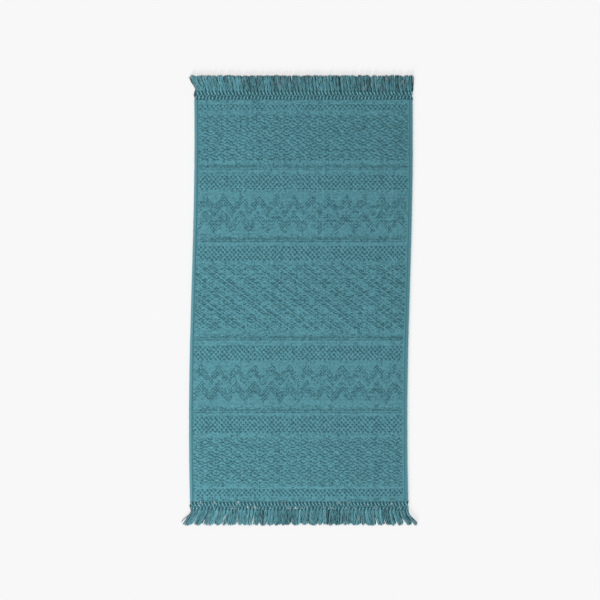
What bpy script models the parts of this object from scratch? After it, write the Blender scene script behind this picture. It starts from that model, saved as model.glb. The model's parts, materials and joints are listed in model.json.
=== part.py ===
"""Cotton bath towel with woven relief bands, sewn side hems, knotted headings and cut fringes.

Metres, +Z up. The towel lies flat on z = 0 with its head end towards +Y, and the middle of its
outline is over the origin. The cloth is one weave: it is cut here along the three lines where it
folds, so that each stretch between two folds is a stiff panel. Both ends fold inwards on the
quarter lines, the middle line closes the towel like a book, and each fringe folds over its knots.
"""

import math

import bmesh
import bpy
from mathutils import Matrix

# Overall sizes of the cloth, hems included and fringes left out
CLOTH_WIDTH = 0.700
CLOTH_LENGTH = 1.290

# Thickness of the cloth where the ground weave shows and where a pattern stands up from it
GROUND_THICKNESS = 0.0030
BAND_THICKNESS = {
    "plain": GROUND_THICKNESS,
    "dots": 0.0037,
    "field": 0.0038,
    "ribs": 0.0034,
    "zigzag": 0.0036,
}
BAND_RAMP = 0.0015

# Woven bands from the head end to the foot end: pattern, and depth in pattern repeats.
# The cloth's length sets how deep one repeat comes out on the loom.
BANDS = (
    ("plain", 4),
    ("dots", 6),
    ("plain", 5),
    ("field", 46),
    ("plain", 2),
    ("ribs", 9),
    ("plain", 2),
    ("dots", 16),
    ("plain", 5),
    ("zigzag", 36),
    ("plain", 4),
    ("ribs", 9),
    ("plain", 1),
    ("dots", 16),
    ("plain", 3),
    ("field", 66),
    ("plain", 3),
    ("ribs", 9),
    ("plain", 2),
    ("dots", 16),
    ("plain", 5),
    ("zigzag", 37),
    ("plain", 4),
    ("ribs", 8),
    ("plain", 1),
    ("dots", 17),
    ("plain", 4),
    ("field", 47),
    ("plain", 4),
    ("dots", 8),
    ("plain", 5),
)

# Side hems: the cloth's edge turned over and sewn down with one row of stitches
HEM_WIDTH = 0.012
HEM_THICKNESS = 0.0040
HEM_ROUND = 0.0010
STITCH_INSET = 0.0018
STITCH_WIDTH = 0.0012
STITCH_DEPTH = 0.0008
STITCH_STANDS_PROUD = 0.0002

# Knotted heading at each end: two rows of slanted knots
KNOTS_ACROSS = 63
KNOT_ROW_DEPTH = 0.0140
KNOT_THICKNESS = 0.0050
KNOT_SHOULDER = 0.0032
KNOT_NECK = 0.0045
KNOT_SLANT = 0.0030
KNOT_BEVEL = 0.0016

# Fringe at each end: one tassel below each knot, in groups that share a row of yarn at the top
TASSEL_LENGTH = 0.050
TASSEL_THICKNESS = 0.0040
TASSEL_HEADER = 0.005
TASSEL_SLOT = 0.0012
TASSEL_BEVEL = 0.0008
TASSEL_RAGGED = 0.0022
TASSEL_RAGGED_TURN = 2.4
TASSEL_GROUPS = 7
HEAD_FLARE = 0.006
FOOT_FLARE = 0.030

# How the towel lies: both long edges wander together, furthest to the left at DRIFT_TURN
DRIFT = 0.0088
DRIFT_PERIOD = 1.85
DRIFT_TURN = -0.40

# Clearances: between pieces that touch, between layers once folded, and between the folded
# fringe tips and the middle line
PIECE_GAP = 0.0003
LAYER_GAP = 0.0004
TIP_CLEARANCE = 0.004

STATION_SPACING = 0.030
AXIS_ARROW_SIZE = 0.05

# Worked out from the sizes above
HALF_CLOTH = CLOTH_LENGTH / 2
HALF_WIDTH = CLOTH_WIDTH / 2
HEADING_DEPTH = 2 * (KNOT_ROW_DEPTH + PIECE_GAP)
FRINGE_LINE = HALF_CLOTH + HEADING_DEPTH + PIECE_GAP / 2
HALF_LENGTH = FRINGE_LINE + PIECE_GAP / 2 + TASSEL_LENGTH
QUARTER_LINE = (HALF_LENGTH + TIP_CLEARANCE) / 2
STITCH_TOP = HEM_THICKNESS + STITCH_STANDS_PROUD
CLOTH_TOP = max(STITCH_TOP, *BAND_THICKNESS.values())

# Heights of the fold axes. Each clears what lies between the two layers that it brings together:
# fringe on knots, then a folded end with its fringe turned in, then two such ends on each other.
FRINGE_AXIS_Z = (KNOT_THICKNESS + TASSEL_THICKNESS + LAYER_GAP) / 2
FRINGE_FOLDED_TOP = 2 * FRINGE_AXIS_Z
QUARTER_AXIS_Z = (FRINGE_FOLDED_TOP + max(CLOTH_TOP, KNOT_THICKNESS) + LAYER_GAP) / 2
MIDDLE_AXIS_Z = 2 * QUARTER_AXIS_Z + LAYER_GAP / 2

COTTON = (0.082, 0.240, 0.290, 1.0)
COTTON_SHADED = (0.066, 0.205, 0.250, 1.0)
THREAD = (0.055, 0.180, 0.222, 1.0)


def clear_scene():
    for old in list(bpy.data.objects):
        bpy.data.objects.remove(old, do_unlink=True)


def cotton_material(name, colour, roughness):
    material = bpy.data.materials.new(name)
    material.use_nodes = True
    shader = material.node_tree.nodes["Principled BSDF"]
    shader.inputs["Base Color"].default_value = colour
    shader.inputs["Roughness"].default_value = roughness
    shader.inputs["Metallic"].default_value = 0.0
    return material


def raw_drift(y):
    return -DRIFT * math.cos(2 * math.pi * (y - DRIFT_TURN) / DRIFT_PERIOD)


def drift(y):
    """How far the towel's middle lies to the right at this height. It is nought at the foot."""
    return raw_drift(y) - raw_drift(-HALF_LENGTH)


def joint_axis(name, y, z, parent=None):
    """An empty on a fold's axis, which runs across the towel along X."""
    empty = bpy.data.objects.new(name, None)
    empty.empty_display_type = "SINGLE_ARROW"
    empty.empty_display_size = AXIS_ARROW_SIZE
    empty.location = (0.0, y, z)
    bpy.context.scene.collection.objects.link(empty)
    if parent:
        empty.parent = parent
        empty.matrix_parent_inverse = Matrix.Translation(-world_place(parent))
    return empty


def world_place(empty):
    bpy.context.view_layer.update()
    return empty.matrix_world.translation.copy()


def add_piece(name, bm, material, axis=None):
    """Turns a bmesh in world coordinates into one named object, held by a fold's empty."""
    bmesh.ops.recalc_face_normals(bm, faces=bm.faces)
    mesh = bpy.data.meshes.new(name)
    bm.to_mesh(mesh)
    bm.free()
    mesh.materials.append(material)
    piece = bpy.data.objects.new(name, mesh)
    bpy.context.scene.collection.objects.link(piece)
    if axis:
        piece.parent = axis
        piece.matrix_parent_inverse = Matrix.Translation(-world_place(axis))
    return piece


def bridge(bm, lower, upper):
    """Quads between two closed loops with the same number of points."""
    for i in range(len(lower)):
        j = (i + 1) % len(lower)
        bm.faces.new((lower[i], lower[j], upper[j], upper[i]))


def loft_along_y(stations):
    """A closed solid through sections: each station is (y, [(x, z), ...])."""
    bm = bmesh.new()
    loops = [[bm.verts.new((x, y, z)) for x, z in section] for y, section in stations]
    for first, second in zip(loops, loops[1:]):
        bridge(bm, first, second)
    bm.faces.new(loops[0])
    bm.faces.new(loops[-1])
    return bm


def loft_up(levels):
    """A closed solid through plan outlines: each level is (z, [(x, y), ...])."""
    bm = bmesh.new()
    loops = [[bm.verts.new((x, y, z)) for x, y in outline] for z, outline in levels]
    for first, second in zip(loops, loops[1:]):
        bridge(bm, first, second)
    bm.faces.new(loops[0])
    bm.faces.new(loops[-1])
    return bm


def band_edges():
    """(pattern, upper y, lower y) of each woven band, from the head end to the foot end."""
    repeat = CLOTH_LENGTH / sum(count for _, count in BANDS)
    edges, y = [], HALF_CLOTH
    for pattern, count in BANDS:
        edges.append((pattern, y, y - count * repeat))
        y -= count * repeat
    return edges


def spaced(low, high):
    """Heights from low to high, close enough together to follow the wandering edge."""
    steps = max(1, math.ceil((high - low) / STATION_SPACING))
    return [low + (high - low) * i / steps for i in range(steps + 1)]


def cloth_profile(low, high):
    """(y, thickness) along the cloth from low to high, with a short ramp where a band ends."""
    profile = []
    for pattern, upper, lower in reversed(band_edges()):
        start = low if lower <= low else lower + BAND_RAMP / 2
        stop = high if upper >= high else upper - BAND_RAMP / 2
        if start >= stop:
            continue
        thickness = BAND_THICKNESS[pattern]
        profile += [(y, thickness) for y in spaced(start, stop)]
    profile[0] = (low, profile[0][1])
    profile[-1] = (high, profile[-1][1])
    return profile


def panel(name, low, high, material, axis=None):
    """The cloth between two fold lines, between the hems, thicker where its bands stand up."""
    reach = HALF_WIDTH - HEM_WIDTH - PIECE_GAP
    stations = []
    for y, thickness in cloth_profile(low, high):
        left, right = drift(y) - reach, drift(y) + reach
        stations.append((y, [(left, 0), (right, 0), (right, thickness), (left, thickness)]))
    return add_piece(name, loft_along_y(stations), material, axis)


def hem_section(side, y):
    """Rounded on its outer edge, with a groove near the inner edge for the stitches."""
    outer = drift(y) + side * HALF_WIDTH
    inner = outer - side * HEM_WIDTH
    groove_in = inner + side * (STITCH_INSET - PIECE_GAP)
    groove_out = groove_in + side * (STITCH_WIDTH + 2 * PIECE_GAP)
    floor = HEM_THICKNESS - STITCH_DEPTH - PIECE_GAP
    return [
        (inner, 0),
        (outer - side * HEM_ROUND, 0),
        (outer, HEM_ROUND),
        (outer, HEM_THICKNESS - HEM_ROUND),
        (outer - side * HEM_ROUND, HEM_THICKNESS),
        (groove_out, HEM_THICKNESS),
        (groove_out, floor),
        (groove_in, floor),
        (groove_in, HEM_THICKNESS),
        (inner, HEM_THICKNESS),
    ]


def hem(name, side, low, high, material, axis=None):
    stations = [(y, hem_section(side, y)) for y in spaced(low, high)]
    return add_piece(name, loft_along_y(stations), material, axis)


def stitch_row(name, side, low, high, material, axis=None):
    """The row of stitches in the hem's groove, as one run of thread."""
    stations = []
    for y in spaced(low, high):
        near = drift(y) + side * (HALF_WIDTH - HEM_WIDTH + STITCH_INSET)
        far = near + side * STITCH_WIDTH
        middle = (near + far) / 2
        bottom = HEM_THICKNESS - STITCH_DEPTH
        shoulder = HEM_THICKNESS - PIECE_GAP
        section = [(near, bottom), (far, bottom), (far, shoulder), (middle, STITCH_TOP), (near, shoulder)]
        stations.append((y, section))
    return add_piece(name, loft_along_y(stations), material, axis)


def knot_outline(end, row, inset):
    """Plan of one row: slanted lozenges side by side, joined at narrow necks.

    end is +1 at the head and -1 at the foot. Row 0 is next to the cloth, and the second row slants
    the other way."""
    pitch = CLOTH_WIDTH / KNOTS_ACROSS
    middle_y = HALF_CLOTH + PIECE_GAP + KNOT_ROW_DEPTH * (row + 0.5) + PIECE_GAP * row
    slant = KNOT_SLANT * (1 if row == 0 else -1)
    reach = KNOT_ROW_DEPTH / 2 - inset
    neck = KNOT_NECK / 2 - inset / 2
    centre = drift(end * middle_y)
    far_side, near_side = [], []
    for i in range(KNOTS_ACROSS):
        left = centre - HALF_WIDTH + i * pitch
        if i == 0:
            left += inset
        peak = centre - HALF_WIDTH + (i + 0.5) * pitch
        far_side += [(left, neck), (peak + slant, reach)]
        near_side += [(left, -neck), (peak - slant, -reach)]
    right = centre + HALF_WIDTH - inset
    far_side.append((right, neck))
    near_side.append((right, -neck))
    outline = far_side + near_side[::-1]
    return [(x, end * (middle_y + v)) for x, v in outline]


def knot_row(name, end, row, material, axis):
    levels = (
        (0, knot_outline(end, row, 0)),
        (KNOT_SHOULDER, knot_outline(end, row, 0)),
        (KNOT_THICKNESS, knot_outline(end, row, KNOT_BEVEL)),
    )
    return add_piece(name, loft_up(levels), material, axis)


def fanned(x, along, flare):
    """Where a point of the fringe lies across the towel: the outer tassels fan outwards."""
    share = x / HALF_WIDTH
    return x + flare * share**3 * (along / TASSEL_LENGTH) ** 2


def tassel_length(index):
    """The cut is a little uneven from tassel to tassel."""
    return TASSEL_LENGTH - TASSEL_RAGGED * (0.5 - 0.5 * math.cos(index * TASSEL_RAGGED_TURN))


def tassel_outline(end, first, count, flare, inset):
    """Plan of a group of tassels: a comb, closed along the top and cut ragged at the tips."""
    pitch = CLOTH_WIDTH / KNOTS_ACROSS
    half = (pitch - TASSEL_SLOT) / 2 - inset
    slot_root = TASSEL_HEADER - inset
    points = []
    for i in range(first, first + count):
        middle = (i + 0.5) * pitch - HALF_WIDTH
        length = tassel_length(i) - inset
        near = inset if i == first else slot_root
        halfway = (TASSEL_HEADER + length) / 2
        points += [(middle - half, near), (middle - half, halfway), (middle - half, length - half)]
        points += [(middle, length), (middle + half, length - half), (middle + half, halfway)]
    points.append((points[-1][0], inset))
    start = FRINGE_LINE + PIECE_GAP / 2
    centre = drift(end * HALF_LENGTH)
    return [(centre + fanned(x, along, flare), end * (start + along)) for x, along in points]


def tassel_group(name, end, group, flare, material, axis):
    count = KNOTS_ACROSS // TASSEL_GROUPS
    levels = (
        (0, tassel_outline(end, group * count, count, flare, 0)),
        (TASSEL_THICKNESS - TASSEL_BEVEL, tassel_outline(end, group * count, count, flare, 0)),
        (TASSEL_THICKNESS, tassel_outline(end, group * count, count, flare, TASSEL_BEVEL)),
    )
    return add_piece(name, loft_up(levels), material, axis)


def cloth_stretch(name, low, high, materials, axis=None):
    """One panel with its two hems and their stitches, a hair short of the fold at each end."""
    low, high = low + PIECE_GAP / 2, high - PIECE_GAP / 2
    panel(name + "_panel", low, high, materials["cloth"], axis)
    for side, word in ((-1, "left"), (1, "right")):
        hem(f"{name}_{word}_hem", side, low, high, materials["hem"], axis)
        stitch_row(f"{name}_{word}_hem_stitches", side, low, high, materials["thread"], axis)


def heading(end, word, materials, axis):
    for row, place in ((0, "inner"), (1, "outer")):
        knot_row(f"{word}_{place}_knot_row", end, row, materials["knots"], axis)


def fringe(end, word, flare, materials, axis):
    for group in range(TASSEL_GROUPS):
        tassel_group(f"{word}_tassels_{group + 1}", end, group, flare, materials["tassels"], axis)


def main():
    clear_scene()
    materials = {
        "cloth": cotton_material("woven_cotton", COTTON, 0.92),
        "hem": cotton_material("hem_cotton", COTTON, 0.90),
        "thread": cotton_material("sewing_thread", THREAD, 0.80),
        "knots": cotton_material("knotted_yarn", COTTON_SHADED, 0.88),
        "tassels": cotton_material("fringe_yarn", COTTON_SHADED, 0.88),
    }
    middle_fold = joint_axis("middle_fold_axis", 0.0, MIDDLE_AXIS_Z)
    head_fold = joint_axis("head_fold_axis", QUARTER_LINE, QUARTER_AXIS_Z, middle_fold)
    foot_fold = joint_axis("foot_fold_axis", -QUARTER_LINE, QUARTER_AXIS_Z)
    head_fringe = joint_axis("head_fringe_axis", FRINGE_LINE, FRINGE_AXIS_Z, head_fold)
    foot_fringe = joint_axis("foot_fringe_axis", -FRINGE_LINE, FRINGE_AXIS_Z, foot_fold)

    cloth_stretch("lower_middle", -QUARTER_LINE, 0.0, materials)
    cloth_stretch("upper_middle", 0.0, QUARTER_LINE, materials, middle_fold)
    cloth_stretch("head", QUARTER_LINE, HALF_CLOTH, materials, head_fold)
    cloth_stretch("foot", -HALF_CLOTH, -QUARTER_LINE, materials, foot_fold)
    heading(1, "head", materials, head_fold)
    heading(-1, "foot", materials, foot_fold)
    fringe(1, "head", HEAD_FLARE, materials, head_fringe)
    fringe(-1, "foot", FOOT_FLARE, materials, foot_fringe)


main()
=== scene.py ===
"""A teal cotton bath towel, woven in relief bands, with sewn side hems, knotted headings and
tasselled fringes. It lies flat on its back, with the head end towards +Y, in metres."""

import json
import math

import bpy
import numpy as np
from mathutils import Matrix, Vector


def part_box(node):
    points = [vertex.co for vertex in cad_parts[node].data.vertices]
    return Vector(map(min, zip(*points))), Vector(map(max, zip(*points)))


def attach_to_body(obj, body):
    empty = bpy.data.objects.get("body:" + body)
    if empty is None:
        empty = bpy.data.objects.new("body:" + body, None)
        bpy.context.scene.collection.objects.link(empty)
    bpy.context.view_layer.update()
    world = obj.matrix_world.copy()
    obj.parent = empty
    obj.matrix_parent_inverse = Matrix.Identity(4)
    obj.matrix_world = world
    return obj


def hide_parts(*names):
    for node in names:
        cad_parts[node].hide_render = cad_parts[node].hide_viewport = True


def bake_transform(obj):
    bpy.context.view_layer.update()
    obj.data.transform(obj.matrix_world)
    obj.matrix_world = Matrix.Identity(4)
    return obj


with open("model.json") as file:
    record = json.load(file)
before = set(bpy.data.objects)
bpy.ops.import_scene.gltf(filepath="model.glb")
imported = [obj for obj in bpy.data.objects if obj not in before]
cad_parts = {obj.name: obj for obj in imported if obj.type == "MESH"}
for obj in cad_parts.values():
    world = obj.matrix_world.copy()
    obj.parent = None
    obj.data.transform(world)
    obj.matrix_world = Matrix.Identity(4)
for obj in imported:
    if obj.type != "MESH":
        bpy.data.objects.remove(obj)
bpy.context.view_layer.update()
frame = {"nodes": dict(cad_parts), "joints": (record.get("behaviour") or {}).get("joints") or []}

# The woven bands from the head end to the foot end: (pattern, depth in repeats)
BANDS = (
    ("plain", 4), ("dots", 6), ("plain", 5), ("scales", 46), ("plain", 2), ("ribs", 9),
    ("plain", 2), ("dots", 16), ("plain", 5), ("zigzag", 36), ("plain", 4), ("ribs", 9),
    ("plain", 1), ("dots", 16), ("plain", 3), ("trellis", 66), ("plain", 3), ("ribs", 9),
    ("plain", 2), ("dots", 16), ("plain", 4), ("zigzag", 37), ("plain", 5), ("ribs", 8),
    ("plain", 1), ("dots", 17), ("plain", 4), ("scales", 47), ("plain", 4), ("dots", 8),
    ("plain", 5),
)

# The weave works in small cells: one float of weft yarn each
CELL_ACROSS = 0.0070
CELL_ALONG = 0.0039
GRID_ACROSS = CELL_ACROSS / 4
GRID_ALONG = CELL_ALONG / 2
DOTS_REPEAT = (0.0140, 0.0156)
SCALES_REPEAT = (0.0350, 0.0303)
TRELLIS_REPEAT = (0.0770, 0.0567)
# The share of each lozenge figure's slanting lines that falls to the right
SCALES_FALLING = 0.53
TRELLIS_FALLING = 0.62
# (count across, count along, strength) of the waves in each lozenge figure
SCALES_WAVES = ((1, 1, -0.38), (2, 2, 0.50), (1, 3, -0.52), (3, 3, 0.36), (2, 4, -0.40))
TRELLIS_WAVES = ((1, 1, -0.2), (2, 2, 0.3), (3, 3, 0.5), (3, 7, 0.45), (5, 5, 0.45), (6, 6, 0.5))
# The zigzag's period, the width of its stair steps, and the x of one of its peaks
ZIGZAG_REPEAT = 0.0564
ZIGZAG_STEP = 0.0035
ZIGZAG_PEAK = -0.3110
# How much finer the dots inside the zigzag are than in the bands of dots
ZIGZAG_FINER = 1.5
# The zigzag's amplitude and its two dark stripes, in repeats below the band's upper edge
ZIGZAG_DROP = 12.4
ZIGZAG_STRIPES = ((-1.2, 8.9), (14.9, 25.9))
# The zigzag's tips reach this many repeats into the plain bands on each side
ZIGZAG_SPARE = 3.0

# Thickness of the cloth, the relief on it, and how much painted shade its recesses get (0 to 1)
GROUND = 0.0030
FLOAT_HEIGHT = 0.0007
HOLE_DEPTH = 0.0009
BACK_RELIEF = 0.0005
BACK_SHADE = 0.65
TUFT_HEIGHT = 0.00013
TUFT_SHADE = 0.20
# Half the number of grid points in the table of tufts, along and across
SPECKLE_HALF = (360, 216)
# How far the figures drift across and along, and over what distance
DRIFT = (0.0010, 0.0008)
DRIFT_SIZE = 0.060
# How much more the tufts stand out in each pattern: on its smooth ground, and in its figures
LIVELINESS = {"plain": (0.6, 0.6), "ribs": (0.0, 0.1), "zigzag": (-0.3, 1.0), "dots": (0.1, 0.5),
              "scales": (0.1, 0.5), "trellis": (0.1, 0.6)}
# Painted shade that all the cloth gets before its relief adds or takes some
BASE_SHADE = 0.26
RIPPLE = 0.0004
RIPPLE_SIZE = 0.22
# How far the cloth reaches in under each hem
HEM_OVERLAP = 0.002
# A hair's breadth, so that no place falls between two bands
TOUCHING = 1e-9

# How far each side of its line a fold bends
FOLD_REACH = {
    "middle_fold": 0.0135,
    "head_fold": 0.0100,
    "foot_fold": 0.0100,
    "head_fringe_fold": 0.0050,
    "foot_fringe_fold": 0.0050,
}

HEM_WIDTH = 0.012
# The hems are cut this far from the middle, clear of every fold
HEM_SPLIT = 0.182
STITCH_PITCH = 0.0035
STITCH_LENGTH = 0.0027
STITCH_FROM_EDGE = 0.0096
STITCH_RADIUS = 0.00042
# Where the hem's inner lip starts to turn down, and how far a stitch pulls the hem down
HEM_LIP = 0.0108
STITCH_PULL = 0.00025

KNOTS_ACROSS = 63
KNOT_HEIGHT = 0.00245
KNOT_SLANT = 0.0030
# Each turn of yarn on a knot: half its width and height, its radius, and its distance to the next
WRAP_HALF = (0.0018, 0.00105)
WRAP_RADIUS = 0.00130
WRAP_PITCH = 0.0027
# From a knot's middle to its ends, towards the cloth and away from it
NECK_NEAR = 0.0040
NECK_FAR = 0.0048
# The tops of the knots, the bundles between them and the tassels
KNOT_TOP = 0.0048
LINK_TOP = 0.0034
FRINGE_TOP = 0.0041
# The share of the crossing bundles that is missing, in the inner and the outer row
HOLES_IN_KNOTS = {"head": (0.0, 0.0), "foot": (0.04, 0.16)}
CROSSINGS_PER_KNOT = 4
HEAD_LEFT_FLARE = 0.015
# How far the loose foot tassels lie out beyond their CAD bunches, left and right
LOOSE_FLARE = {-1: 0.009, 1: 0.007}
STRANDS = 15
STRAND_RADIUS = 0.00088
STRAND_POINTS = 34
STRAND_SIDES = 8
# The length of one full twist, and how deep the grooves between its plies are
TWIST_LENGTH = 0.0075
PLY_DEPTH = 0.16
# Half a tassel's width at its knot, its height there, and how far its two layers are apart there
ROOT_SPREAD = 0.0038
ROOT_HEIGHT = 0.0023
ROOT_LAYER = 0.0014
# The height of the lower strands where they lie on the floor, and how far the upper ones are above
STRAND_LIFT = 1.32 * STRAND_RADIUS
STRAND_LAYER = 0.00170

# Colours, linear: for each kind of cotton its own colour, then the painted shade colour that it is
# mixed towards in its recesses
COTTON_LIGHT = (0.094, 0.290, 0.338)
COTTON_SHADED = (0.032, 0.114, 0.140)
HEM_LIGHT = (0.098, 0.298, 0.348)
HEM_SHADED = (0.036, 0.124, 0.150)
THREAD_LIGHT = (0.060, 0.190, 0.228)
THREAD_SHADED = (0.028, 0.098, 0.120)
YARN_LIGHT = (0.098, 0.290, 0.336)
YARN_SHADED = (0.020, 0.074, 0.092)
# Painted light: how much lighter the cotton is painted per metre to the left and towards the foot end,
# as if lit more strongly there
PAINTED_LIGHT_LEFT = 0.34
PAINTED_LIGHT_FOOT = 0.12

# The camera looks straight down at this point, and the picture is this wide on the floor
CAMERA_CENTRE = (0.0016, 0.0016)
PICTURE_WIDTH = 1.927
LENS_MM = 85.0
SENSOR_MM = 36.0

PARTS = {
    "foot": "foot_end",
    "lower_middle": "lower_middle",
    "upper_middle": "upper_middle",
    "head": "head_end",
}
JOINTS = {j["name"]: j for j in frame["joints"]}
HALF_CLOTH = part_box("head_panel")[1].y
REPEAT = 2 * HALF_CLOTH / sum(count for _, count in BANDS)
FRINGE_LINE = JOINTS["head_fringe_fold"]["pos_m"][1]
HALF_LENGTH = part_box("head_tassels_4")[1].y


# ---------------------------------------------------------------- where the CAD puts things

def hem_corners(side):
    """Every corner of the CAD hems on one side."""
    nodes = [frame["nodes"][f"{part}_{side}_hem"] for part in PARTS]
    return np.array([v.co for node in nodes for v in node.data.vertices])


def outer_edge(side, pick):
    """(y, x) of a hem's outer edge at each of its sections."""
    corners = hem_corners(side)
    stations = np.unique(np.round(corners[:, 1], 5))
    edge = [pick(corners[np.abs(corners[:, 1] - y) < 2e-5, 0]) for y in stations]
    return stations, np.array(edge)


def middle_line():
    """(y, x) of the towel's middle, from tip to tip."""
    y, left = outer_edge("left", np.min)
    _, right = outer_edge("right", np.max)
    x = (left + right) / 2
    for end, sign in (("foot", -1), ("head", 1)):
        for node in (f"{end}_inner_knot_row", f"{end}_outer_knot_row", f"{end}_tassels_4"):
            low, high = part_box(node)
            along = sign * HALF_LENGTH if "tassels" in node else (low.y + high.y) / 2
            y, x = np.append(y, along), np.append(x, (low.x + high.x) / 2)
    order = np.argsort(y)
    return y[order], x[order]


MIDDLE_Y, MIDDLE_X = middle_line()
HALF_WIDTH = float((outer_edge("right", np.max)[1] - outer_edge("left", np.min)[1]).mean() / 2)


def middle(y):
    """The x of the towel's middle at y."""
    return np.interp(y, MIDDLE_Y, MIDDLE_X)


def band_edges():
    """(pattern, upper y, lower y) of each band."""
    edges, y = [], HALF_CLOTH
    for pattern, count in BANDS:
        edges.append((pattern, y, y - count * REPEAT))
        y -= count * REPEAT
    return edges


def smooth(x, low, high):
    """0 up to low, 1 from high on, and a soft step between."""
    t = np.clip((x - low) / (high - low), 0, 1)
    return t * t * (3 - 2 * t)


def wavy(u, v, seed, size, count=6):
    """Slow random waves between -1 and 1, with wavelengths about the given size in metres."""
    draw = np.random.default_rng(seed)
    total = np.zeros(np.broadcast(u, v).shape)
    for _ in range(count):
        turn, phase = draw.uniform(0, 2 * math.pi, 2)
        k = 2 * math.pi / (size * draw.uniform(0.7, 1.5))
        total += np.sin(k * (u * math.cos(turn) + v * math.sin(turn)) + phase)
    return total / count


def lie(u, v):
    """Height of the cloth's underside above the floor: nearly flat."""
    return RIPPLE * (1 + wavy(u, v, 11, RIPPLE_SIZE))


# ---------------------------------------------------------------- woven relief

def lozenges(u, v, repeat, waves, falling):
    """A staggered lozenge figure: waves along both diagonals, each with its count in the repeat
    across and along. falling is the share of the diagonal that falls to the right."""
    across, along = 2 * math.pi * u / repeat[0], 2 * math.pi * v / repeat[1]
    return sum(size * (falling * np.cos(m * across + n * along)
                       + (1 - falling) * np.cos(m * across - n * along)) for m, n, size in waves)


# Each pattern takes the place across and along, the distance s below the band's upper edge and the
# band's depth, and gives how raised (0 to 1) and how deep in a hole the cloth is there.

def dots(u, v, s, depth):
    """Rows of small holes with a raised dot between each pair, the next row staggered."""
    lattice = np.cos(2 * math.pi * u / DOTS_REPEAT[0]) * np.cos(2 * math.pi * v / DOTS_REPEAT[1])
    return smooth(-lattice, -0.2, 0.7), 1.1 * smooth(lattice, -0.15, 0.8)


def scales(u, v, s, depth):
    """Small staggered scales with bright ridges between them and rows of dashes inside."""
    wave = lozenges(u, v, SCALES_REPEAT, SCALES_WAVES, SCALES_FALLING)
    return 0.2 + 0.8 * smooth(wave, 0.0, 0.8), 1.1 * smooth(-wave, 0.0, 0.8)


def trellis(u, v, s, depth):
    """Large lozenges between slanting lines, with finer lozenges inside them."""
    wave = lozenges(u, v, TRELLIS_REPEAT, TRELLIS_WAVES, TRELLIS_FALLING)
    return 0.2 + 0.8 * smooth(wave, 0.0, 0.8), 1.1 * smooth(-wave, 0.0, 0.8)


def zigzag(u, v, s, depth):
    """Two stripes of dots that go up and down together, with smooth cloth around them."""
    phase = np.round((u - ZIGZAG_PEAK) / ZIGZAG_STEP) * ZIGZAG_STEP / ZIGZAG_REPEAT
    drop = ZIGZAG_DROP * (1 - np.abs(2 * (phase - np.floor(phase)) - 1))
    at = s / REPEAT - drop
    inside = sum(smooth(at, a - 0.4, a + 0.4) * smooth(-at, -b - 0.4, -b + 0.4)
                 for a, b in ZIGZAG_STRIPES)
    outline = sum(np.exp(-((at - edge) / 0.8) ** 2) for stripe in ZIGZAG_STRIPES for edge in stripe)
    raised, hole = dots(ZIGZAG_FINER * u, ZIGZAG_FINER * v, s, depth)
    return 0.25 + (raised - 0.25) * inside, (0.08 + 0.85 * hole) * inside + 0.14 * outline


def ribs(u, v, s, depth):
    """Long ribs straight across the towel: a broad hollow, a sharp rib and a groove."""
    at = s / depth
    stops = (0, 0.03, 0.11, 0.22, 0.33, 0.44, 0.55, 0.66, 0.78, 1)
    raised = np.interp(at, stops, (0.2, 0.3, 0.6, 0.3, 0.1, 0.1, 1.0, 0.0, 0.8, 0.2))
    hole = np.interp(at, stops, (0.1, 0.40, 0.20, 0.34, 0.50, 0.48, 0.0, 0.52, 0.0, -0.05))
    return raised + 0 * u, hole + 0 * u


def plain(u, v, s, depth):
    """Close, smooth cloth."""
    return 0.2 + 0 * u, 0.0 * u


def speckle_table():
    """How much each small tuft of the weave stands out, the same for every piece of the cloth."""
    draw = np.random.default_rng(7)
    rows, columns = 2 * SPECKLE_HALF[0], 2 * SPECKLE_HALF[1]
    tufts = np.repeat(np.repeat(draw.normal(0, 0.8, (rows // 2, columns // 2)), 2, 0), 2, 1)
    floats = np.repeat(draw.normal(0, 0.8, (rows // 2, columns // 4)), 2, 0)
    floats = np.repeat(floats, 4, 1)
    fine = draw.normal(0, 0.5, (rows, columns))
    return tufts + floats + fine + draw.normal(0, 0.35, (1, columns)) + draw.normal(0, 0.3, (rows, 1))


SPECKLE = speckle_table()


def speckle(u, v):
    """The tuft nearest to each place."""
    row = np.round(v / GRID_ALONG).astype(int) + SPECKLE_HALF[0]
    return SPECKLE[row, np.round(u / GRID_ACROSS).astype(int) + SPECKLE_HALF[1]]


PATTERNS = {"plain": plain, "dots": dots, "scales": scales, "trellis": trellis,
            "zigzag": zigzag, "ribs": ribs}
BAND_EDGES = band_edges()


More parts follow.
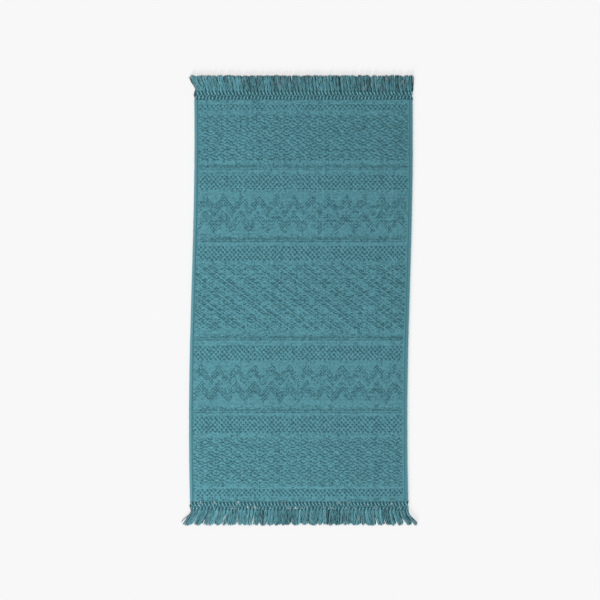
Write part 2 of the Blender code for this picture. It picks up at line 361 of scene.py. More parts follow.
def weave(u, v):
    """(thickness, back relief, painted shade in the recesses) at points of the cloth."""
    raised, hole, lively = np.zeros_like(u), np.zeros_like(u), np.zeros_like(u)
    quantised_u = np.round(u / CELL_ACROSS) * CELL_ACROSS
    shift_u = DRIFT[0] * wavy(u, v, 15, DRIFT_SIZE)
    shift_v = DRIFT[1] * wavy(u, v, 16, DRIFT_SIZE)
    patchy = wavy(u, v, 17, 0.02, 8)
    for pattern, upper, lower in sorted(BAND_EDGES, key=lambda band: band[0] == "zigzag"):
        spare = ZIGZAG_SPARE * REPEAT if pattern == "zigzag" else TOUCHING
        here = (v <= upper + spare) & (v >= lower - spare)
        if not here.any():
            continue
        figured = pattern in ("scales", "trellis")
        across = (0.7 * u + 0.3 * quantised_u + shift_u)[here] if figured else u[here]
        along = (v + shift_v)[here] if figured else v[here]
        up, down = PATTERNS[pattern](across, along, upper - v[here], upper - lower)
        fade = smooth(upper + spare - v[here], 0, 0.003) * smooth(v[here] - lower + spare, 0, 0.003)
        quiet, busy = LIVELINESS[pattern]
        lively[here] = fade * (quiet + (busy - quiet) * np.clip(4 * down, 0, 1))
        fade = fade * (1 + 0.3 * patchy[here])
        raised[here] = 0.2 + (up - 0.2) * fade
        hole[here] = down * fade
    edge = smooth(HALF_WIDTH - HEM_WIDTH - np.abs(u), 0.001, 0.006)
    raised, hole = raised * edge, hole * edge
    uneven, tuft = wavy(u, v, 5, 0.012, 8), speckle(u, v) * (1 + lively)
    float_across = 1 - np.abs(2 * (u / CELL_ACROSS - np.round(u / CELL_ACROSS))) ** 3
    float_along = np.cos(math.pi * (v / CELL_ALONG - np.round(v / CELL_ALONG))) ** 2
    pillow = (0.55 + 0.45 * float_across) * (0.55 + 0.45 * float_along)
    thickness = GROUND + FLOAT_HEIGHT * raised * pillow - HOLE_DEPTH * hole
    thickness = thickness + TUFT_HEIGHT * np.clip(tuft, -3, 3) + 0.00008 * uneven
    back = BACK_RELIEF * np.clip(raised * pillow + 0.3 * uneven + 0.25 * tuft, 0, 1)
    # Painted shade: darker in the holes and between floats, lighter on the middles of raised floats and
    # on tufts that stand up
    painted_shade = BASE_SHADE + 0.80 * hole + 0.20 * raised * (1 - 2 * pillow) + 0.08 * uneven
    painted_shade = np.clip(painted_shade - TUFT_SHADE * tuft, 0, 1)
    return thickness, back, painted_shade


# ---------------------------------------------------------------- mesh building

def add_mesh(name, points, faces, material, painted_shade=None, tone=None, sharp=None):
    """One smooth-shaded object. faces is a list of index arrays, one row per face. sharp gives
    each point a number: edges between two points with the same number above 0 are sharp."""
    mesh = bpy.data.meshes.new(name)
    points = np.asarray(points, np.float32).reshape(-1, 3)
    totals = np.concatenate([np.full(len(f), f.shape[1]) for f in faces])
    corners = np.concatenate([f.ravel() for f in faces]).astype(np.int32)
    mesh.vertices.add(len(points))
    mesh.vertices.foreach_set("co", points.ravel())
    mesh.loops.add(len(corners))
    mesh.loops.foreach_set("vertex_index", corners)
    mesh.polygons.add(len(totals))
    starts = np.concatenate([[0], np.cumsum(totals)[:-1]]).astype(np.int32)
    mesh.polygons.foreach_set("loop_start", starts)
    mesh.polygons.foreach_set("use_smooth", np.ones(len(totals), bool))
    mesh.update(calc_edges=True)
    for label, values in (("painted_shade", painted_shade), ("tone", tone)):
        attribute = mesh.attributes.new(label, "FLOAT", "POINT")
        filled = np.zeros(len(points)) if values is None else np.asarray(values).ravel()
        attribute.data.foreach_set("value", filled.astype(np.float32))
    if sharp is not None:
        pairs = np.zeros(len(mesh.edges) * 2, np.int32)
        mesh.edges.foreach_get("vertices", pairs)
        flags = (sharp[pairs[0::2]] > 0) & (sharp[pairs[0::2]] == sharp[pairs[1::2]])
        mesh.edges.foreach_set("use_edge_sharp", flags)
    mesh.materials.append(material)
    thing = bpy.data.objects.new(name, mesh)
    bpy.context.scene.collection.objects.link(thing)
    return thing


def grid_faces(rows, columns):
    """Quads of a grid of points, counter-clockwise where columns run right and rows run up."""
    first = (np.arange(rows - 1)[:, None] * columns + np.arange(columns - 1)).ravel()
    return np.stack([first, first + 1, first + columns + 1, first + columns], 1)


def border(rows, columns):
    """The grid's outline, counter-clockwise."""
    index = np.arange(rows * columns).reshape(rows, columns)
    return np.concatenate([index[0, :-1], index[:-1, -1], index[-1, :0:-1], index[:0:-1, 0]])


def tubes(paths, radii, up, sides=8, closed=False):
    """(points, faces) of tubes: paths is (tubes, points, 3), radii fits (tubes, points, sides),
    and up, which fits paths, is never along a path. A closed tube joins its end to its start."""
    ahead = np.roll(paths, -1, 1) - np.roll(paths, 1, 1)
    if not closed:
        ahead[:, 0], ahead[:, -1] = paths[:, 1] - paths[:, 0], paths[:, -1] - paths[:, -2]
    ahead = ahead / np.linalg.norm(ahead, axis=-1, keepdims=True)
    one = np.cross(ahead, np.broadcast_to(up, paths.shape))
    one = one / np.linalg.norm(one, axis=-1, keepdims=True)
    two = np.cross(one, ahead)
    turn = 2 * math.pi * np.arange(sides) / sides
    ring = (np.cos(turn)[:, None] * one[..., None, :] + np.sin(turn)[:, None] * two[..., None, :])
    count, along = paths.shape[:2]
    radii = np.broadcast_to(radii, (count, along, sides))
    points = paths[..., None, :] + radii[..., None] * ring
    index = np.arange(count * along * sides).reshape(count, along, sides)
    following = np.roll(index, -1, 1) if closed else index[:, 1:]
    here = index if closed else index[:, :-1]
    quads = np.stack([here, following, np.roll(following, -1, 2), np.roll(here, -1, 2)], -1)
    faces = [quads.reshape(-1, 4)]
    if not closed:
        faces += [index[:, 0], index[:, -1, ::-1]]
    return points.reshape(-1, 3), faces


def merged(parts):
    """Several (points, faces, painted shade, tone) as one."""
    points, faces, painted_shade, tone, start = [], [], [], [], 0
    for p, f, r, t in parts:
        points.append(p)
        faces += [part + start for part in f]
        painted_shade.append(np.broadcast_to(r, len(p)))
        tone.append(np.broadcast_to(t, len(p)))
        start += len(p)
    return np.concatenate(points), faces, np.concatenate(painted_shade), np.concatenate(tone)


# ---------------------------------------------------------------- materials

def new_node(tree, kind, inputs=None, **settings):
    """Adds a node. Each input is a value or another node's socket."""
    node = tree.nodes.new(kind)
    for name, value in settings.items():
        setattr(node, name, value)
    for name, value in (inputs or {}).items():
        if isinstance(value, bpy.types.NodeSocket):
            tree.links.new(value, node.inputs[name])
        else:
            node.inputs[name].default_value = value
    return node


def maths(tree, operation, *values):
    """The outcome of one maths node."""
    inputs = {i: value for i, value in enumerate(values)}
    return new_node(tree, "ShaderNodeMath", inputs, operation=operation).outputs[0]


def noise(tree, place, scale, detail=2.0):
    node = new_node(tree, "ShaderNodeTexNoise", {"Vector": place, "Scale": scale, "Detail": detail})
    return node.outputs["Fac"]


def cotton(name, light, shaded, roughness, sheen, yarn_across, yarn_along, grain, bump):
    """Dyed cotton: its own colour, mixed towards painted shade in its recesses and between its yarns,
    and painted lighter to the left and towards the foot end; uneven from yarn to yarn, with a soft
    sheen. yarn_across and yarn_along are the yarn spacing of the fine weave."""
    material = bpy.data.materials.new(name)
    material.use_nodes = True
    tree = material.node_tree
    shader = tree.nodes["Principled BSDF"]
    shader.inputs["Sheen Weight"].default_value = sheen
    shader.inputs["Sheen Roughness"].default_value = 0.45
    shader.inputs["Sheen Tint"].default_value = (0.55, 0.85, 0.92, 1.0)
    shader.inputs["Specular IOR Level"].default_value = 0.25
    place = new_node(tree, "ShaderNodeTexCoord").outputs["Object"]
    painted_shade = new_node(tree, "ShaderNodeAttribute", attribute_name="painted_shade").outputs["Fac"]
    tone = new_node(tree, "ShaderNodeAttribute", attribute_name="tone").outputs["Fac"]
    # Painted shade: the painted shade attribute mixes the cotton's own colour towards its shaded colour
    colour = new_node(tree, "ShaderNodeMix", {0: painted_shade, 6: (*light, 1), 7: (*shaded, 1)},
                      data_type="RGBA").outputs[2]

    apart = new_node(tree, "ShaderNodeSeparateXYZ", {0: place})
    x, y = apart.outputs[0], apart.outputs[1]
    warp = maths(tree, "SINE", maths(tree, "MULTIPLY", x, math.pi / yarn_across))
    weft = maths(tree, "SINE", maths(tree, "MULTIPLY", y, math.pi / yarn_along))
    woven = maths(tree, "ABSOLUTE", maths(tree, "ADD", maths(tree, "MULTIPLY", warp, weft),
                                          maths(tree, "MULTIPLY", noise(tree, place, 900.0), 0.5)))
    coarse, fine = noise(tree, place, 230.0, 3.0), noise(tree, place, 1500.0)
    slow = noise(tree, place, 7.0)
    level = maths(tree, "ADD", 1.0 - grain / 2 - 0.06, maths(tree, "MULTIPLY", coarse, grain))
    # Painted light: the x and y shares paint the cotton lighter to the left and towards the foot end,
    # and the woven share paints shade between the yarns
    for part, share in ((slow, 0.12), (woven, 0.10), (x, -PAINTED_LIGHT_LEFT), (y, -PAINTED_LIGHT_FOOT)):
        level = maths(tree, "ADD", level, maths(tree, "MULTIPLY", part, share))
    level = maths(tree, "ADD", level, tone)
    shade = new_node(tree, "ShaderNodeVectorMath", {0: colour, "Scale": level}, operation="SCALE")
    tree.links.new(shade.outputs[0], shader.inputs["Base Color"])

    rough = maths(tree, "ADD", roughness - 0.08, maths(tree, "MULTIPLY", fine, 0.16))
    tree.links.new(rough, shader.inputs["Roughness"])
    height = maths(tree, "ADD", maths(tree, "MULTIPLY", woven, 0.7), maths(tree, "MULTIPLY", fine, 0.5))
    raised = new_node(tree, "ShaderNodeBump", {"Height": height, "Distance": 0.0004, "Strength": bump})
    tree.links.new(raised.outputs[0], shader.inputs["Normal"])
    return material


def plain_floor():
    material = bpy.data.materials.new("pale_floor")
    material.use_nodes = True
    shader = material.node_tree.nodes["Principled BSDF"]
    shader.inputs["Base Color"].default_value = (0.90, 0.90, 0.90, 1)
    shader.inputs["Roughness"].default_value = 1.0
    shader.inputs["Specular IOR Level"].default_value = 0.0
    return material


# ---------------------------------------------------------------- joining pieces to the frame

def attach(piece, low, high):
    """Rides a piece on its stretch of the towel, or, where a fold lies inside it, leaves it fixed in
    place on no body.
    """
    for name in ("middle_fold", "head_fold", "foot_fold"):
        joint, reach = JOINTS[name], FOLD_REACH[name]
        y = joint["pos_m"][1]
        if low < y < high:
            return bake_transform(piece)
    for part, body in PARTS.items():
        lowest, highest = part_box(part + "_panel")
        if lowest.y < (low + high) / 2 < highest.y:
            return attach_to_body(piece, body)


def stand_for(suffix, low, high):
    """The piece replaces each CAD node of its kind that it covers."""
    for part in PARTS:
        lowest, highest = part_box(part + suffix)
        if lowest.y < high - 0.001 and highest.y > low + 0.001:
            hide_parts(part + suffix)


# ---------------------------------------------------------------- cloth

CLOTH_SPLITS = (
    ("head_cloth", HALF_CLOTH),
    ("head_fold_cloth", 229 * GRID_ALONG),
    ("upper_zigzag_cloth", 179 * GRID_ALONG),
    ("upper_dots_cloth", 112 * GRID_ALONG),
    ("middle_cloth", 63 * GRID_ALONG),
    ("lower_dots_cloth", -50 * GRID_ALONG),
    ("lower_zigzag_cloth", -101 * GRID_ALONG),
    ("foot_fold_cloth", -170 * GRID_ALONG),
    ("foot_cloth", -219 * GRID_ALONG),
)


def cloth(name, low, high, material):
    """One stretch of the cloth, front and back, ending inside a plain band at each split."""
    inner = np.arange(math.ceil(low / GRID_ALONG + 0.01), math.floor(high / GRID_ALONG - 0.01) + 1)
    v = np.concatenate([[low], inner * GRID_ALONG, [high]])
    reach = HALF_WIDTH - HEM_WIDTH + HEM_OVERLAP
    inner = np.arange(math.ceil(-reach / GRID_ACROSS), math.floor(reach / GRID_ACROSS) + 1)
    u = np.concatenate([[-reach], inner * GRID_ACROSS, [reach]])
    u, v = np.meshgrid(u, v)
    thickness, back, painted_shade = weave(u, v)
    x, base = u + middle(v), lie(u, v)
    rows, columns = u.shape
    count, ring = rows * columns, border(rows, columns)
    points = np.concatenate([np.stack([x, v, base + thickness], -1).reshape(-1, 3),
                             np.stack([x, v, base + back], -1).reshape(-1, 3)])
    top, onward = grid_faces(rows, columns), np.roll(ring, -1)
    walls = np.stack([ring + count, onward + count, onward, ring], 1)
    sharp = np.zeros(2 * count, np.int8)
    sharp[ring], sharp[ring + count] = 1, 2
    # Painted shade on the back, lightest where the front's painted shade is darkest
    shaded = np.concatenate([painted_shade.ravel(), BACK_SHADE * np.clip(0.9 - painted_shade.ravel(), 0, 1)])
    piece = add_mesh(name, points, [top, top[:, ::-1] + count, walls], material, shaded, sharp=sharp)
    attach(piece, low, high)
    stand_for("_panel", low, high)
    return piece


# ---------------------------------------------------------------- hems

# Half of a hem's section from its outer fold to its inner edge: (from the fold, height), in mm
HEM_TOP = ((0.0, 2.0), (0.15, 2.7), (0.55, 3.4), (1.2, 3.85), (2.6, 3.9), (4.6, 3.8), (6.6, 3.85),
           (8.3, 3.95), (9.1, 3.6), (9.6, 3.3), (10.1, 3.6), (10.9, 3.85), (11.6, 3.7), (12.0, 3.2))
HEM_UNDER = ((12.1, 1.4), (11.0, 0.35), (6.0, 0.1), (1.2, 0.1), (0.4, 0.5), (0.1, 1.2))


def hem(name, side, low, high, material):
    """The turned edge of the cloth, drawn in a little at every stitch."""
    sign = -1 if side == "left" else 1
    stations = max(2, round((high - low) / (STITCH_PITCH / 4)) + 1)
    y = np.linspace(low, high, stations)[:, None]
    section = np.array(HEM_TOP + HEM_UNDER) * 0.001
    away, z = section[:, 0][None, :], section[:, 1][None, :]
    on_top = (np.arange(len(section)) < len(HEM_TOP))[None, :]
    near_seam = np.exp(-((away - STITCH_FROM_EDGE) / 0.0016) ** 2) * on_top
    pulled = np.cos(math.pi * y / STITCH_PITCH) ** 2
    slack = wavy(0 * y, y, 21 + sign, 0.035)
    depth = -STITCH_PULL * near_seam * pulled + 0.00012 * slack * on_top
    puff = 0.00010 * (1 - pulled) * np.exp(-((away - 0.0075) / 0.0015) ** 2) * on_top
    inwards = HALF_WIDTH - away + 0.0003 * slack * (away < 0.002)
    x = middle(y) + sign * inwards
    height = np.maximum(z + depth + puff, 0.00005) + lie(sign * inwards, y)
    points = np.stack([x, y + 0 * x, height], -1)
    if sign > 0:
        points = points[:, ::-1]
        near_seam = near_seam[:, ::-1]
    rows, columns = points.shape[:2]
    index = np.arange(rows * columns).reshape(rows, columns)
    here, ahead = index[:-1], index[1:]
    quads = np.stack([here, np.roll(here, -1, 1), np.roll(ahead, -1, 1), ahead], -1).reshape(-1, 4)
    caps = [index[:1, ::-1], index[-1:]]
    sharp = np.zeros(rows * columns, np.int8)
    sharp[index[0]], sharp[index[-1]] = 1, 2
    # Painted shade: darker along the dent that the stitches pull in, and on the inner lip where it
    # turns down
    shaded = np.clip(0.8 * near_seam * (0.3 + 0.7 * pulled) + 0.12 + 0.2 * (away > HEM_LIP), 0, 1)
    piece = add_mesh(name, points, [quads, *caps], material, shaded, sharp=sharp)
    attach(piece, low, high)
    stand_for(f"_{side}_hem", low, high)
    return piece


def stitches(name, side, low, high, material):
    """One short arch of thread from each needle hole to the next."""
    sign = -1 if side == "left" else 1
    first, last = math.ceil(low / STITCH_PITCH), math.floor(high / STITCH_PITCH)
    holes = np.arange(first, last)[:, None] * STITCH_PITCH
    draw = np.random.default_rng(31 + sign)
    along = np.linspace(0, 1, 9)[None, :]
    y = holes + STITCH_PITCH / 2 + (along - 0.5) * STITCH_LENGTH
    sway = draw.normal(0, 0.00010, holes.shape) + (along - 0.5) * draw.normal(0, 0.00030, holes.shape)
    inwards = HALF_WIDTH - STITCH_FROM_EDGE + sway
    z = 0.0030 + 0.00085 * np.sin(math.pi * along) ** 0.6 + lie(inwards, y)
    paths = np.stack([middle(y) + sign * inwards, y, z], -1)
    radii = STITCH_RADIUS * (0.55 + 0.45 * np.sin(math.pi * along) ** 0.5)[..., None]
    points, faces = tubes(paths, radii, (0, 0, 1), 6)
    tone = np.repeat(draw.normal(0, 0.05, len(holes)), 9 * 6)
    piece = add_mesh(name, points, faces, material, None, tone)
    attach(piece, low, high)
    stand_for(f"_{side}_hem_stitches", low, high)
    return piece


# ---------------------------------------------------------------- knots and tassels

def knot_places(end, row):
    """Middles of the knots of one row, (63, 3)."""
    sign = 1 if end == "head" else -1
    low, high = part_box(f"{end}_{'inner' if row == 0 else 'outer'}_knot_row")
    y = (low.y + high.y) / 2
    pitch = 2 * HALF_WIDTH / KNOTS_ACROSS
    x = (np.arange(KNOTS_ACROSS) + 0.5) * pitch - HALF_WIDTH
    if row == 1:
        x = np.minimum(x + pitch / 2, HALF_WIDTH - 0.0027)
    draw = np.random.default_rng(41 + 2 * row + sign)
    x = x + np.clip(draw.normal(0, 0.0006, KNOTS_ACROSS), -0.0012, 0.0012)
    along = y + np.clip(draw.normal(0, 0.0005, KNOTS_ACROSS), -0.001, 0.001)
    return np.stack([x + middle(y), along, np.full(KNOTS_ACROSS, KNOT_HEIGHT)], 1)


def knot_axes(end, row):
    """Unit vectors along the knots, away from the cloth."""
    sign = 1 if end == "head" else -1
    draw = np.random.default_rng(51 + 2 * row + sign)
    slant = (1 if row == 0 else -1) * KNOT_SLANT * draw.normal(1, 0.30, KNOTS_ACROSS)
    axes = np.stack([2 * slant, np.full(KNOTS_ACROSS, sign * 0.014), np.zeros(KNOTS_ACROSS)], 1)
    return axes / np.linalg.norm(axes, axis=1, keepdims=True)


def gap_shade(z, top):
    """Painted shade on yarn at a height: dark where it lies on other yarn, in its shade, and light on
    top and below.
    """
    return smooth(z, 0.0004, 0.0012) * (1 - smooth(z, top - 0.0018, top - 0.0005))


def wraps(places, axes, seed):
    """Three turns of yarn round each knot's core."""
    draw = np.random.default_rng(seed)
    turn = 2 * math.pi * np.arange(14)[None, :, None] / 14
    parts = []
    for step in (-1, 0, 1):
        tilt = axes + 0.30 * np.stack([axes[:, 1], -axes[:, 0], axes[:, 2]], 1)
        tilt = tilt / np.linalg.norm(tilt, axis=1, keepdims=True)
        flat = np.stack([tilt[:, 1], -tilt[:, 0], 0 * tilt[:, 0]], 1)
        size = draw.normal(1, 0.05, (len(places), 1, 1)) * (1.0 if step == 0 else 0.88)
        centres = (places + axes * WRAP_PITCH * step)[:, None, :]
        rings = (centres + WRAP_HALF[0] * size * np.cos(turn) * flat[:, None, :]
                 + WRAP_HALF[1] * size * np.sin(turn) * np.array([0, 0, 1.0]))
        points, faces = tubes(rings, WRAP_RADIUS, tilt[:, None, :], 8, closed=True)
        # Painted light and shade: the turns, which lie on top, are painted lighter than the rest of the
        # yarn, with a random spread from turn to turn, and get painted shade where they lie on other
        # yarn
        tone = np.repeat(draw.normal(0.36, 0.20, len(places)), 14 * 8)
        parts.append((points, faces, gap_shade(points[:, 2], KNOT_TOP), tone))
    return parts


def links(starts, stops, radius, seed, bow=0.0004):
    """Short bundles of yarn between two sets of points."""
    draw = np.random.default_rng(seed)
    t = np.linspace(0, 1, 8)[None, :, None]
    paths = starts[:, None, :] * (1 - t) + stops[:, None, :] * t
    paths = paths + bow * np.sin(math.pi * t) * draw.normal(0, 1, (len(starts), 1, 3))
    paths[..., 2] = np.clip(paths[..., 2], radius + 0.0001, 0.0046 - radius)
    points, faces = tubes(paths, radius, (0, 0, 1), 7)
    tone = np.repeat(draw.normal(0.04, 0.10, len(starts)), 8 * 7)
    # Painted shade where the bundles lie on other yarn
    return points, faces, 0.8 * gap_shade(points[:, 2], LINK_TOP), tone


def crossing(end, row, seed):
    """The bundles that pass under a row of knots, slanting the other way and nearly touching."""
    sign = 1 if end == "head" else -1
    low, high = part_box(f"{end}_{'inner' if row == 0 else 'outer'}_knot_row")
    near, far = (low.y, high.y) if sign > 0 else (high.y, low.y)
    draw = np.random.default_rng(seed)
    count = KNOTS_ACROSS * CROSSINGS_PER_KNOT
    x = (np.arange(count) + 0.5) * 2 * HALF_WIDTH / count - HALF_WIDTH
    x = np.clip(x, 0.0013 - HALF_WIDTH, HALF_WIDTH - 0.0013)
    slant = (-1 if row == 0 else 1) * 0.0022
    starts = np.stack([x - slant + middle(near), np.full(count, near - sign * 0.0008), 0 * x], 1)
    stops = np.stack([x + slant + middle(far), np.full(count, far + sign * 0.0012), 0 * x], 1)
    starts[:, 2], stops[:, 2] = 0.00155, 0.00150
    kept = draw.random(count) > HOLES_IN_KNOTS[end][row]
    points, faces, _, tone = links(starts[kept], stops[kept], 0.0014, seed + 1, 0.0002)
    # Painted shade: these bundles lie under the knots, so they are painted darker
    return points, faces, 0.80 * gap_shade(points[:, 2], KNOT_TOP), tone - 0.04


def knot_row(name, end, row, material):
    """One row of knots with the bundles that lead into it from the side of the cloth."""
    sign = 1 if end == "head" else -1
    places, axes = knot_places(end, row), knot_axes(end, row)
    parts = wraps(places, axes, 61 + 2 * row + sign) + [crossing(end, row, 66 + 2 * row + sign)]
    near, far = places - axes * NECK_NEAR, places + axes * NECK_FAR
    parts.append(links(places - axes * 0.0044, far, 0.0016, 71 + row + sign, 0))
    if row == 0:
        for side in (-1, 1):
            root = near.copy()
            root[:, 0] += side * 0.0026
            root[:, 1] = sign * (HALF_CLOTH - 0.0008)
            root[:, 2] = 0.0019
            parts.append(links(root, near, 0.0013, 81 + side + sign))
    else:
        before = knot_places(end, 0) + knot_axes(end, 0) * NECK_NEAR
        parts.append(links(before, near, 0.00125, 91 + sign))
        parts.append(links(before[1:], near[:-1], 0.00125, 95 + sign))
    points, faces, painted_shade, tone = merged(parts)
    piece = add_mesh(name, points, faces, material, painted_shade, tone)
    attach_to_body(piece, f"{end}_end")
    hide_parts(f"{end}_{'inner' if row == 0 else 'outer'}_knot_row")
    return piece


def lumps(look):
    """The middle of the bunch that each tassel leans into, in tassel numbers, and its size."""
    draw, sizes = np.random.default_rng(look["seed"] + 50), []
    left = KNOTS_ACROSS - sum(look["corner"])
    while left > 0:
        sizes.append(min(int(draw.choice(look["bunches"])), left))
        left -= sizes[-1]
    sizes = np.array([*sizes, *look["corner"]])
    middles = np.cumsum(sizes) - (sizes + 1) / 2
    return np.repeat(middles, sizes), np.repeat(sizes, sizes)


# The sizes of the bunches that tassels lie in, how far they lean into them (pull), how much the
# lower strands lean with the upper ones (under), how close the upper strands gather, half a
# tassel's width (spread), how uneven and how round the cut is (ragged, rounded), how far the
# bunches near the right corner part, and the sizes of the last bunches there (corner)
FRINGES = {
    "head": {"bunches": (1, 2, 2, 3), "pull": 0.28, "under": 0.15, "gathered": 0.72,
             "spread": 0.0062, "ragged": 0.09, "rounded": 0.03, "parted": 0.0,
             "corner": (2, 1), "seed": 101},
    "foot": {"bunches": (1, 2, 2, 3, 3), "pull": 0.26, "under": 0.60, "gathered": 0.80,
             "spread": 0.0060, "ragged": 0.11, "rounded": 0.10, "parted": 0.5,
             "corner": (2, 2, 1), "seed": 202},
}


def flare(end, sign):
    """How far the outermost tassel tips fan out beyond the cloth's edge."""
    if (end, sign) == ("head", -1):
        return HEAD_LEFT_FLARE
    loose = LOOSE_FLARE[sign] if end == "foot" else 0
    tip_middle = middle(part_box(f"{end}_tassels_4")[1].y)
    if sign < 0:
        return loose + tip_middle - HALF_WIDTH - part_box(f"{end}_tassels_1")[0].x
    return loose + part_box(f"{end}_tassels_7")[1].x - tip_middle - HALF_WIDTH


def strand_paths(end, group, draw):
    """The strands of nine tassels, from their knots to their cut ends. Gives their paths, (strands,
    points, 3), how far along its strand each point is, and its tone there, with painted shadow at the
    root."""
    sign, look = (1 if end == "head" else -1), FRINGES[end]
    members = np.arange(group * 9, group * 9 + 9)[:, None, None]
    pitch = 2 * HALF_WIDTH / KNOTS_ACROSS
    roots = (knot_places(end, 1) + knot_axes(end, 1) * NECK_NEAR)[members]
    bunch, size = (values[members] for values in lumps(look))
    own = (members + 0.5) * pitch - HALF_WIDTH
    share = own / HALF_WIDTH
    pull = look["pull"] + look["parted"] * np.maximum(share, 0) ** 8
    lean = (bunch - members) * pitch * pull + draw.normal(0, 0.0010, (9, 1, 1))
    fan = np.where(share < 0, flare(end, -1), flare(end, 1)) * np.abs(share) ** 3 * np.sign(share)
    length = (HALF_LENGTH - FRINGE_LINE) * (1 - look["ragged"] * 0.5 * draw.random((9, 1, 1)))

    many = (9, STRANDS, 1)
    s = np.linspace(0, 1, STRAND_POINTS)[None, None, :]
    layer = (np.arange(STRANDS) % 2)[None, :, None] + 0 * draw.random(many)
    place = np.linspace(-1, 1, STRANDS)[None, :, None] + np.clip(draw.normal(0, 0.10, many), -0.2, 0.2)
    place = place * np.where(layer > 0.5, look["gathered"], 1.0)
    width = ROOT_SPREAD + (look["spread"] - ROOT_SPREAD) * smooth(s, 0.0, 0.16)
    width = width - 0.0006 * smooth(s, 0.75, 1)
    bend = 0.5 * s + 0.5 * smooth(s, 0.0, 0.8)
    wave = 2 * math.pi * (draw.uniform(0.4, 1.3, many) * s + draw.random(many))
    wobble = draw.normal(0, 0.0014, many) * np.sin(wave) * smooth(s, 0.05, 0.5)
    splay = np.clip(draw.normal(0, 0.0017, many), -0.003, 0.003) * s**1.5
    follow = np.where(layer > 0.5, 1.0, look["under"])
    x_end = middle(sign * HALF_LENGTH) + own + fan * s**0.8 + lean * follow * s**1.3
    tight = 1 - 0.8 * look["parted"] * np.maximum(share, 0) ** 4
    x = roots[..., 0] * (1 - bend) + x_end * bend + (place * width + wobble + splay) * tight
    off_centre = (members - bunch) * pitch + place * look["spread"]
    rounding = np.clip(look["rounded"] * np.abs(off_centre / (size * pitch / 2)) ** 3, 0, 0.14)
    reach = length * (1 - look["ragged"] * draw.random(many) ** 2 - rounding)
    start = np.abs(roots[..., 1])
    y = sign * (start + (FRINGE_LINE + reach - start) * s)
    lowered = smooth(s, 0.0, 0.25)
    z_root = ROOT_HEIGHT + (layer - 0.5) * ROOT_LAYER
    z_body = STRAND_LIFT + layer * STRAND_LAYER + draw.uniform(0, 0.00015, many)
    z = z_root * (1 - lowered) + z_body * lowered
    # Tone along each strand: random waves, and painted shadow over the first tenth, under the knot
    light = 0.24 * np.sin(2 * wave) - 0.30 * smooth(-s, -0.10, 0.0)
    flat = (9 * STRANDS, STRAND_POINTS)
    paths = np.stack([x, y + 0 * x, z + 0 * x], -1).reshape(*flat, 3)
    return paths, (s * reach).reshape(*flat, 1), light.reshape(*flat, 1)


def tassels(end, group, material):
    """Nine tassels, each a bunch of twisted strands that starts in its knot."""
    draw = np.random.default_rng(FRINGES[end]["seed"] + group)
    paths, along, waves_and_root_shadow = strand_paths(end, group, draw)
    each = (9 * STRANDS, 1, 1)
    angle = 2 * math.pi * np.arange(STRAND_SIDES)[None, None, :] / STRAND_SIDES
    twist = along / TWIST_LENGTH + draw.random(each)
    ply = np.cos(2 * (angle - 2 * math.pi * twist))
    stops = np.linspace(0, 1, STRAND_POINTS)
    taper = np.interp(stops, (0, 0.03, 0.93, 1), (0.9, 1, 1, 0.55))[None, :, None]
    radius = STRAND_RADIUS * np.clip(draw.normal(1, 0.06, each), 0.86, 1.12)
    points, faces = tubes(paths, radius * taper * (1 + PLY_DEPTH * ply), (0, 0, 1), STRAND_SIDES)
    height = points[:, 2].reshape(ply.shape)
    # Painted shade in the grooves between plies and where strands lie on other strands
    painted_shade = np.clip(0.15 * (1 - ply) + 0.95 * gap_shade(height, FRINGE_TOP), 0, 1)
    tassel_tone = np.repeat(draw.normal(0.02, 0.15, 9), STRANDS)[:, None, None]
    tone = tassel_tone + draw.normal(0, 0.30, each) + waves_and_root_shadow + 0 * ply
    piece = add_mesh(f"{end}_fringe_{group + 1}", points, faces, material, painted_shade, tone)
    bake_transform(piece)
    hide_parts(f"{end}_tassels_{group + 1}")
    return piece


# ---------------------------------------------------------------- the stage

def floor():
    size = 15.0
    points = [(-size, -size, 0), (size, -size, 0), (size, size, 0), (-size, size, 0)]
    add_mesh("floor", points, [np.array([[0, 1, 2, 3]])], plain_floor())


def sun(name, azimuth, elevation, strength, softness):
    """Azimuth 0 shines from the foot end and 90 from the right."""
    light = bpy.data.lights.new(name, "SUN")
    light.energy, light.angle = strength, math.radians(softness)
    lamp = bpy.data.objects.new(name, light)
    lamp.rotation_euler = (math.radians(90 - elevation), 0, math.radians(azimuth))
    bpy.context.scene.collection.objects.link(lamp)


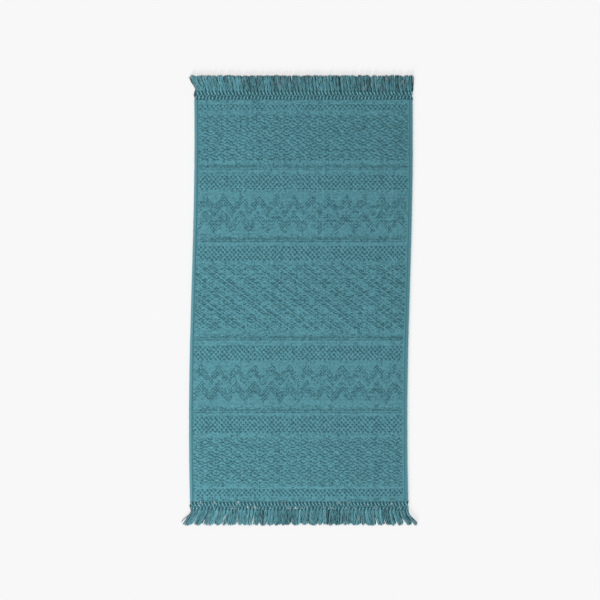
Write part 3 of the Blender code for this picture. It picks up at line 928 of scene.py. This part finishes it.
def studio():
    """Soft light from all round, with a weak key from the foot end's left."""
    world = bpy.data.worlds.new("studio")
    bpy.context.scene.world = world
    world.use_nodes = True
    world.node_tree.nodes["Background"].inputs["Color"].default_value = (1, 1, 1, 1)
    world.node_tree.nodes["Background"].inputs["Strength"].default_value = 0.60
    sun("key", -38, 42, 1.47, 22)
    sun("low_key", -20, 9, 2.60, 9)
    bpy.context.scene.view_settings.view_transform = "Standard"


def camera():
    data = bpy.data.cameras.new("camera")
    data.type, data.lens, data.sensor_width = "PERSP", LENS_MM, SENSOR_MM
    data.dof.use_dof = False
    data.clip_end = 60.0
    thing = bpy.data.objects.new("camera", data)
    thing.location = (*CAMERA_CENTRE, PICTURE_WIDTH * LENS_MM / SENSOR_MM)
    bpy.context.scene.collection.objects.link(thing)
    bpy.context.scene.camera = thing


# ---------------------------------------------------------------- the towel

def towel():
    looks = {
        "cloth": cotton("woven_cotton_look", COTTON_LIGHT, COTTON_SHADED, 0.86, 0.30,
                        0.001175, 0.0013, 0.34, 0.8),
        "hem": cotton("hem_cotton_look", HEM_LIGHT, HEM_SHADED, 0.86, 0.30,
                      0.001175, 0.0013, 0.20, 0.7),
        "thread": cotton("sewing_thread_look", THREAD_LIGHT, THREAD_SHADED, 0.70, 0.15,
                         0.0004, 0.0004, 0.15, 0.4),
        "yarn": cotton("fringe_yarn_look", YARN_LIGHT, YARN_SHADED, 0.84, 0.30,
                       0.0007, 0.0007, 0.30, 0.7),
    }
    going = {}
    for side in ("left", "right"):
        for part, low, high in (("foot", -HALF_CLOTH, -HEM_SPLIT), ("middle", -HEM_SPLIT, HEM_SPLIT),
                                ("head", HEM_SPLIT, HALF_CLOTH)):
            turned = hem(f"{part}_{side}_hem_edge", side, low, high, looks["hem"])
            sewn = stitches(f"{part}_{side}_seam", side, low, high, looks["thread"])
            going.setdefault(f"{part}_cloth", []).extend([turned, sewn])
    for end in ("head", "foot"):
        for row, word in ((0, "inner"), (1, "outer")):
            going[f"{end}_cloth"].append(knot_row(f"{end}_{word}_knots", end, row, looks["yarn"]))
        for group in range(7):
            going[f"{end}_cloth"].append(tassels(end, group, looks["yarn"]))
    for i, (name, high) in enumerate(CLOTH_SPLITS):
        low = CLOTH_SPLITS[i + 1][1] if i + 1 < len(CLOTH_SPLITS) else -HALF_CLOTH
        piece = cloth(name, low, high, looks["cloth"])


towel()
floor()
studio()
camera()
